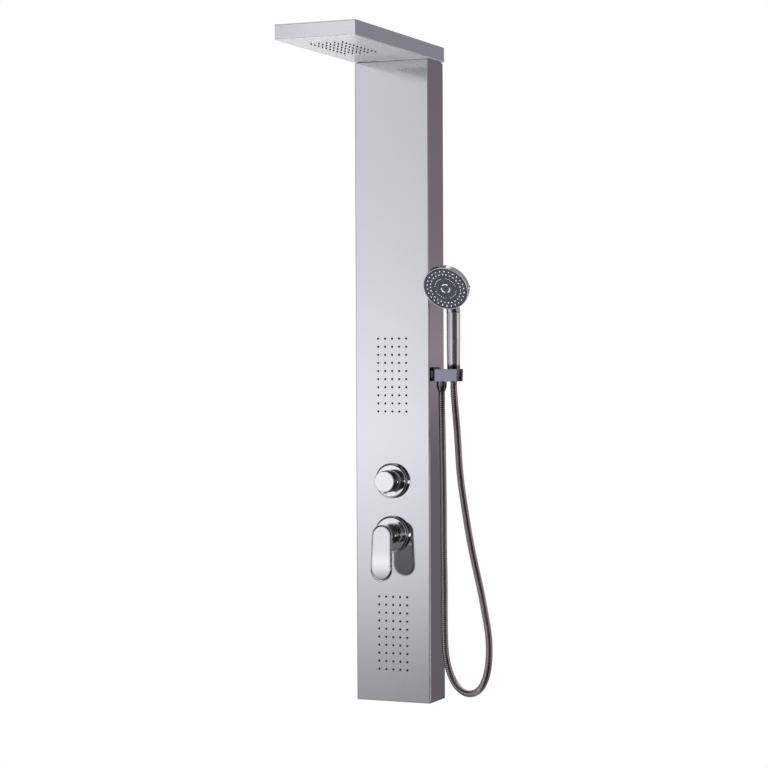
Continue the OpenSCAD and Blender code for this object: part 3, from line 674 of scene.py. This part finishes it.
def join_parts(parts):
    """Several lists of vertices and faces as one."""
    vertices, faces = [], []
    for part_vertices, part_faces in parts:
        offset = len(vertices)
        vertices += part_vertices
        faces += [tuple(offset + i for i in face) for face in part_faces]
    return vertices, faces


def add_face_piece(name, parts, material):
    """A small piece on the spray face, made in the face's own frame."""
    vertices, faces = join_parts(parts)
    place = face_matrix()
    piece = mesh_object(name, [place @ Vector(v) for v in vertices], faces, MATERIALS[material])
    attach(piece, "hand_shower")
    return piece


def rounded_profile(inner, outer, height, sunk=0.0004):
    """A ridge's section: sunk into the face, with a crowned top."""
    middle, half = (inner + outer) / 2, (outer - inner) / 2
    arc = [
        (middle + half * math.cos(a), height * math.sin(a))
        for a in (math.radians(x) for x in range(0, 181, 30))
    ]
    return [(outer, -sunk), *arc, (inner, -sunk)]


def stud(rings, sides, place):
    """Vertices and faces of a small solid of rings of radius and height, moved by a matrix."""
    vertices = [
        place @ Vector((r * math.cos(2 * math.pi * i / sides), r * math.sin(2 * math.pi * i / sides), height))
        for r, height in rings
        for i in range(sides)
    ]
    faces = [
        (k * sides + i, k * sides + (i + 1) % sides, (k + 1) * sides + (i + 1) % sides, (k + 1) * sides + i)
        for k in range(len(rings) - 1)
        for i in range(sides)
    ]
    last = (len(rings) - 1) * sides
    faces += [tuple(reversed(range(sides))), tuple(range(last, last + sides))]
    return vertices, faces


# ---- Nozzle tips ----

# Radius and height of each ring of a small silicone tip, from its root outwards
DOT_RINGS = ((0.0009, -0.0004), (0.0009, 0.0003), (0.0005, 0.0008))
RAIN_TIP_RINGS = ((0.0017, -0.0008), (0.0016, 0.0014), (0.0011, 0.0022))
JET_TIP_RINGS = ((0.0023, -0.0003), (0.0023, 0.0004), (0.0015, 0.0010))
TIP_SIDES = 14
# Counts, places and pitches of the rain holes and the body jets, as in part.scad; the middles of the
# two groups of jets are heights above the casing's bottom edge
JET_COLUMNS, JET_ROWS = 5, 10
RAIN_MIDDLE_X, RAIN_FRONT_Y = -0.008, -0.369
RAIN_PITCH_X, RAIN_PITCH_Y = 0.0164, 0.0171
JET_PITCH_X, JET_PITCH_Z = 0.0153, 0.0163
JET_MIDDLES = (0.658, 0.138)


def add_tips(name, rings, places):
    """One piece of silicone tips, one at each place."""
    vertices, faces = join_parts([stud(rings, TIP_SIDES, place) for place in places])
    piece = mesh_object(name, vertices, faces, MATERIALS["nozzle_silicone"])
    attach(piece, "root")


def add_nozzle_tips():
    """The silicone tips that stand out of the rain holes and of the body jets."""
    grid = [(i - (JET_COLUMNS - 1) / 2, j) for i in range(JET_COLUMNS) for j in range(JET_ROWS)]
    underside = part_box("rain_spray_plate")[0].z
    down = Matrix.Rotation(math.pi, 4, "X")
    rain = [(RAIN_MIDDLE_X + i * RAIN_PITCH_X, RAIN_FRONT_Y + j * RAIN_PITCH_Y, underside) for i, j in grid]
    add_tips("rain_nozzle_tips", RAIN_TIP_RINGS, [Matrix.Translation(place) @ down for place in rain])
    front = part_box("front_panel")[0].y
    forward = Matrix.Rotation(math.pi / 2, 4, "X")
    for name, middle in zip(("upper_jet_tips", "lower_jet_tips"), JET_MIDDLES):
        jets = [
            (i * JET_PITCH_X, front, BOTTOM + middle + (j - (JET_ROWS - 1) / 2) * JET_PITCH_Z)
            for i, j in grid
        ]
        add_tips(name, JET_TIP_RINGS, [Matrix.Translation(place) @ forward for place in jets])


# ---- Spray face ----

# The details' distances from the face's middle are shares of its radius, angles are in degrees
ARC_COUNT, ARC_SWEEP, ARC_HEIGHT = 3, 84, 0.0008
ARC_INNER, ARC_OUTER = 0.17, 0.225
MIST_GROUPS, MIST_PER_GROUP, MIST_STEP = 4, 7, 10.0
MIST_REACH, MIST_SIDES = 0.49, 10
# Inner and outer edge, height and number of steps of each ring-shaped ridge
FACE_RIDGES = ((0.575, 0.595, 0.0004, 96), (0.295, 0.315, 0.0004, 72), (0.945, 0.975, 0.0005, 128))


def add_face_details():
    """The ridges, pads and slots of the spray face that the water comes out of."""
    arc = rounded_profile(ARC_INNER * FACE_RADIUS, ARC_OUTER * FACE_RADIUS, ARC_HEIGHT)
    arcs = [
        revolve(
            arc, 18, math.radians(90 + 360 / ARC_COUNT * k - ARC_SWEEP / 2), math.radians(ARC_SWEEP)
        )
        for k in range(ARC_COUNT)
    ]
    add_face_piece("massage_arcs", arcs, "white_silicone")
    dots = []
    reach = MIST_REACH * FACE_RADIUS
    for group in range(MIST_GROUPS):
        for k in range(MIST_PER_GROUP):
            middle = 45 + 360 / MIST_GROUPS * group
            angle = math.radians(middle + (k - (MIST_PER_GROUP - 1) / 2) * MIST_STEP)
            place = Matrix.Translation((reach * math.cos(angle), reach * math.sin(angle), 0.0))
            dots.append(stud(DOT_RINGS, MIST_SIDES, place))
    add_face_piece("mist_nozzles", dots, "white_silicone")
    ridge = [
        revolve(rounded_profile(inner * FACE_RADIUS, outer * FACE_RADIUS, height), steps)
        for inner, outer, height, steps in FACE_RIDGES
    ]
    add_face_piece("face_ridges", ridge, "face_plastic")


# ---- Bell and lever ----

# Size of the cubes that each node is rebuilt from, and how many rounds of smoothing follow
BELL_VOXEL, BELL_ROUNDS = 0.0009, 60
LEVER_VOXEL, LEVER_ROUNDS = 0.0006, 24
# The rim's seat, the handle's top and the hub's end stay as in the CAD, and the freedom to move grows
# over each fade
SEAT_DEPTH, SEAT_FADE = 0.0105, 0.004
HANDLE_FADE = 0.006
HUB_LENGTH, HUB_FADE = 0.004, 0.006
# From this far above its lower end, the paddle's front leans back by the rate times the distance squared
CROWN_START = 0.060
CROWN_RATE = 0.80
# Only points this near to the paddle's front lean, and fully only where the surface faces forward enough
PADDLE_DEPTH = 0.012
FULLY_FORWARD = 0.7


def melted(name, source, voxel, rounds, freedom):
    """A dense, softened copy of a CAD node.

    Freedom gives, from the points' places, how far each may move, from 0 to 1.
    """
    mesh = NODES[source].data.copy()
    copy = bpy.data.objects.new(name, mesh)
    bpy.context.scene.collection.objects.link(copy)
    remesh = copy.modifiers.new("remesh", "REMESH")
    remesh.mode = "VOXEL"
    remesh.voxel_size = voxel
    dense = bpy.data.meshes.new_from_object(copy.evaluated_get(bpy.context.evaluated_depsgraph_get()))
    copy.modifiers.clear()
    copy.data = dense
    dense.materials.clear()
    dense.materials.append(MATERIALS["chrome"])
    dense.polygons.foreach_set("use_smooth", [True] * len(dense.polygons))
    relax(dense, rounds, freedom)
    return copy


def place_soft(copy, source):
    """The softened copy rides with its node's body and stands in for it."""
    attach(copy, NODES[source]["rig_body"])
    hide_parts(source)


def relax(mesh, rounds, freedom):
    """Laplacian smoothing of a mesh, scaled at each point by its freedom."""
    count = len(mesh.vertices)
    places = np.zeros(count * 3)
    mesh.vertices.foreach_get("co", places)
    places = places.reshape(-1, 3)
    edges = np.zeros(len(mesh.edges) * 2, dtype=int)
    mesh.edges.foreach_get("vertices", edges)
    edges = edges.reshape(-1, 2)
    degree = np.bincount(edges.ravel(), minlength=count).astype(float)[:, None]
    free = freedom(places)
    for _ in range(rounds):
        total = np.zeros_like(places)
        np.add.at(total, edges[:, 0], places[edges[:, 1]])
        np.add.at(total, edges[:, 1], places[edges[:, 0]])
        places += 0.5 * free[:, None] * (total / degree - places)
    mesh.vertices.foreach_set("co", places.ravel())
    mesh.update()


def behind_seat(places):
    """The bell is free behind the rim's seat and above the handle's top."""
    depth = -((places - np.array(FACE_CENTRE)) @ np.array(FACE_NORMAL))
    handle_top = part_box("handset_handle")[1].z
    above = places[:, 2] - handle_top
    return np.clip((depth - SEAT_DEPTH) / SEAT_FADE, 0, 1) * np.clip(above / HANDLE_FADE, 0, 1)


def outer_lever(places):
    """The lever is free away from its hub's end at the casing."""
    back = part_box("mixer_lever")[1].y
    return np.clip((back - places[:, 1] - HUB_LENGTH) / HUB_FADE, 0, 1)


def crown_paddle(mesh):
    """Bends the lower end of the paddle's front back towards the casing, in a soft curve."""
    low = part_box("mixer_lever")[0]
    facing = [max(0.0, min(1.0, -vertex.normal.y / FULLY_FORWARD)) for vertex in mesh.vertices]
    for vertex, share in zip(mesh.vertices, facing):
        below = low.z + CROWN_START - vertex.co.z
        if below > 0 and vertex.co.y < low.y + PADDLE_DEPTH:
            vertex.co.y += share * CROWN_RATE * below * below


def add_soft_forms():
    """The hand shower's bell and the lever, with the CAD's stepped layers melted into one form."""
    bell = melted("handset_bell", "handset_shell", BELL_VOXEL, BELL_ROUNDS, behind_seat)
    place_soft(bell, "handset_shell")
    lever = melted("soft_lever", "mixer_lever", LEVER_VOXEL, LEVER_ROUNDS, outer_lever)
    crown_paddle(lever.data)
    place_soft(lever, "mixer_lever")


# ---- Light ----

# Compass directions are in degrees: 0 is straight out from the wall, 90 to the viewer's left, 180 behind.
# The levels are a fit: they were set by comparing the render's greys with the photo's, so that the
# mirror-like steel reads alike from the photo's side. They don't describe a measured room.
# Levels of the bright wall of light in front of the column, by elevation
FRONT_BY_ELEVATION = (
    (-90, 0.40), (-40, 0.40), (-24, 0.10), (-13, 0.10), (-10.5, 0.28), (-8.2, 0.42), (-5.0, 0.86),
    (-2.2, 1.07), (2.2, 0.86), (6.6, 0.74), (11.5, 0.88), (14, 0.25), (18, 0.08), (45, 0.08),
    (60, 0.5), (90, 0.6),
)
FRONT_BY_COMPASS = (
    (-180, (0.0, 0.0, 0.0)), (-84, (0.0, 0.0, 0.0)), (-70, (0.05, 0.045, 0.045)),
    (-14, (0.05, 0.045, 0.045)), (-6, (0.13, 0.13, 0.14)), (0, (0.30, 0.31, 0.36)),
    (12, (0.52, 0.53, 0.60)), (21.8, (0.825, 0.815, 0.86)), (24.6, (1.01, 1.0, 1.055)),
    (27, (0.72, 0.72, 0.78)), (36, (0.42, 0.43, 0.50)), (52, (0.30, 0.31, 0.36)), (66, (0.55, 0.53, 0.51)),
    (80, (0.72, 0.69, 0.64)), (90, (0.06, 0.055, 0.05)), (96, (0.0, 0.0, 0.0)), (180, (0.0, 0.0, 0.0)),
)
# Levels of everything to the sides and behind
BACK_BY_ELEVATION = (
    (-90, 0.50), (-30, 0.40), (-12, 0.80), (-2.5, 0.86), (0.0, 1.70), (3.0, 1.16), (7.0, 1.00),
    (30, 1.0), (90, 1.2),
)
BACK_BY_COMPASS = (
    (-180, (0.80, 0.79, 0.82)), (-174, (0.60, 0.58, 0.60)), (-166, (0.27, 0.245, 0.27)),
    (-152, (0.245, 0.22, 0.245)), (-125, (0.30, 0.27, 0.28)), (-108, (0.34, 0.31, 0.32)),
    (-96, (0.56, 0.52, 0.54)), (-84, (0.40, 0.36, 0.37)), (-74, (0.02, 0.02, 0.02)),
    (88, (0.0, 0.0, 0.0)), (98, (0.20, 0.18, 0.16)), (120, (0.30, 0.28, 0.27)),
    (140, (0.75, 0.75, 0.77)), (157, (0.95, 0.95, 0.98)), (180, (0.80, 0.79, 0.82)),
)
# A narrow lamp low on the right, which draws the bright streaks on the knob and the lever
STRIP_COMPASS = (-25.0, -20.5)
STRIP_ELEVATION = (-9.0, -2.5)
STRIP_LEVEL = 1.6
STRIP_SOFTNESS = 0.4
# A low bright wall on the left, which fills the front panel when it is seen from above
FILL_COMPASS = (32.0, 75.0)
FILL_ELEVATION = (-60.0, -16.0)
FILL_LEVEL = 0.45
FILL_SOFTNESS = 6.0


def window(tree, value, low, high, softness):
    """1 between low and high, fading to 0 over the softness outside."""
    rise = between(tree, value, 0.0, 1.0, (low - softness, low))
    fall = between(tree, value, 1.0, 0.0, (high, high + softness))
    return math_node(tree, "MULTIPLY", rise, fall)


def bright_patch(tree, compass, elevation, sector, heights, softness, level):
    """A patch of the room between two compass directions and two elevations, at one level."""
    shape = math_node(
        tree, "MULTIPLY",
        window(tree, compass, *sector, softness), window(tree, elevation, *heights, softness)
    )
    return math_node(tree, "MULTIPLY", shape, level)


def add_room():
    """The room around the column: levels by elevation and compass for reflections, white behind."""
    world = bpy.data.worlds.new("room")
    bpy.context.scene.world = world
    world.use_nodes = True
    tree = world.node_tree
    tree.nodes.clear()
    direction = tree.nodes.new("ShaderNodeTexCoord").outputs["Generated"]
    split = tree.nodes.new("ShaderNodeSeparateXYZ")
    tree.links.new(direction, split.inputs[0])
    left = math_node(tree, "MULTIPLY", split.outputs["X"], -1.0)
    out = math_node(tree, "MULTIPLY", split.outputs["Y"], -1.0)
    turn, rise = math_node(tree, "ARCTAN2", left, out), math_node(tree, "ARCSINE", split.outputs["Z"], 0.0)
    compass = math_node(tree, "MULTIPLY", turn, math.degrees(1))
    elevation = math_node(tree, "MULTIPLY", rise, math.degrees(1))

    def levels(value, reach, stops):
        """The grey level at an angle that runs from minus to plus its reach."""
        share = between(tree, value, 0.0, 1.0, (-reach, reach))
        return ramp(tree, share, [((angle + reach) / (2 * reach), level) for angle, level in stops])

    front = colour_node(
        tree, "MULTIPLY", levels(elevation, 90, FRONT_BY_ELEVATION), levels(compass, 180, FRONT_BY_COMPASS)
    )
    back = colour_node(
        tree, "MULTIPLY", levels(elevation, 90, BACK_BY_ELEVATION), levels(compass, 180, BACK_BY_COMPASS)
    )
    strip = bright_patch(
        tree, compass, elevation, STRIP_COMPASS, STRIP_ELEVATION, STRIP_SOFTNESS, STRIP_LEVEL
    )
    fill = bright_patch(tree, compass, elevation, FILL_COMPASS, FILL_ELEVATION, FILL_SOFTNESS, FILL_LEVEL)
    lamps = math_node(tree, "ADD", strip, fill)
    level = colour_node(tree, "ADD", colour_node(tree, "ADD", front, back), lamps)
    room = add_node(tree, "ShaderNodeBackground", Strength=1.0)
    tree.links.new(level, room.inputs["Color"])
    white = add_node(tree, "ShaderNodeBackground", Strength=1.0)
    white.inputs["Color"].default_value = (1.0, 1.0, 1.0, 1.0)
    seen = tree.nodes.new("ShaderNodeLightPath").outputs["Is Camera Ray"]
    mix = tree.nodes.new("ShaderNodeMixShader")
    tree.links.new(seen, mix.inputs[0])
    tree.links.new(room.outputs[0], mix.inputs[1])
    tree.links.new(white.outputs[0], mix.inputs[2])
    output = tree.nodes.new("ShaderNodeOutputWorld")
    tree.links.new(mix.outputs[0], output.inputs["Surface"])


COLUMN_MIDDLE = (0.0, 0.0, BOTTOM + 0.65)
HEAD_UNDERSIDE = (0.0, -0.22, BOTTOM + 1.29)
# Place, the point that it faces, width and height, and power in watts
SOFTBOXES = {
    "key_softbox": ((-2.2, -2.6, 1.6), COLUMN_MIDDLE, (1.6, 1.6), 70.0),
    "fill_softbox": ((2.6, -2.2, 0.8), COLUMN_MIDDLE, (1.4, 1.8), 25.0),
    "top_softbox": ((0.0, 0.2, 2.6), COLUMN_MIDDLE, (2.2, 2.2), 60.0),
    "low_softbox": ((-0.3, -1.4, BOTTOM + 0.1), HEAD_UNDERSIDE, (0.9, 0.9), 17.0),
    "back_softbox": ((0.6, 2.8, 0.8), COLUMN_MIDDLE, (1.8, 1.8), 40.0),
}


def add_softbox(name, place, target, size, power):
    """A soft rectangular lamp that lights the matt parts and leaves the mirrors to the room."""
    data = bpy.data.lights.new(name, "AREA")
    data.shape = "RECTANGLE"
    data.size, data.size_y = size
    data.energy = power
    lamp = bpy.data.objects.new(name, data)
    bpy.context.scene.collection.objects.link(lamp)
    lamp.location = place
    lamp.rotation_euler = (Vector(target) - Vector(place)).to_track_quat("-Z", "Y").to_euler()
    lamp.visible_camera = False
    lamp.visible_glossy = False


FLOOR_DROP = 0.75
FLOOR_HALF = 2.4


def add_floor():
    """A plain pale floor under the column, left out of reflections, where it lightened the knob."""
    z = BOTTOM - FLOOR_DROP
    corners = [(sx * FLOOR_HALF, sy * FLOOR_HALF, z) for sx, sy in ((-1, -1), (1, -1), (1, 1), (-1, 1))]
    material, tree, shader = new_material("pale_floor", Roughness=0.7)
    speckle = noise(tree, (4.0, 4.0, 4.0), detail=4.0)
    tinted(tree, shader, speckle, (0.80, 0.80, 0.79), (0.84, 0.84, 0.83))
    floor = mesh_object("floor", corners, [(0, 1, 2, 3)], material)
    floor.visible_glossy = False


def add_lights():
    for name, (place, target, size, power) in SOFTBOXES.items():
        add_softbox(name, place, target, size, power)


# ---- The scene ----

add_camera()
add_hose()
add_soft_forms()
for node_name, node_object in NODES.items():
    finish_node(node_name, node_object)
add_face_details()
add_nozzle_tips()
add_room()
add_floor()
add_lights()

settings = bpy.context.scene.view_settings
settings.view_transform = "Standard"
settings.look = "None"
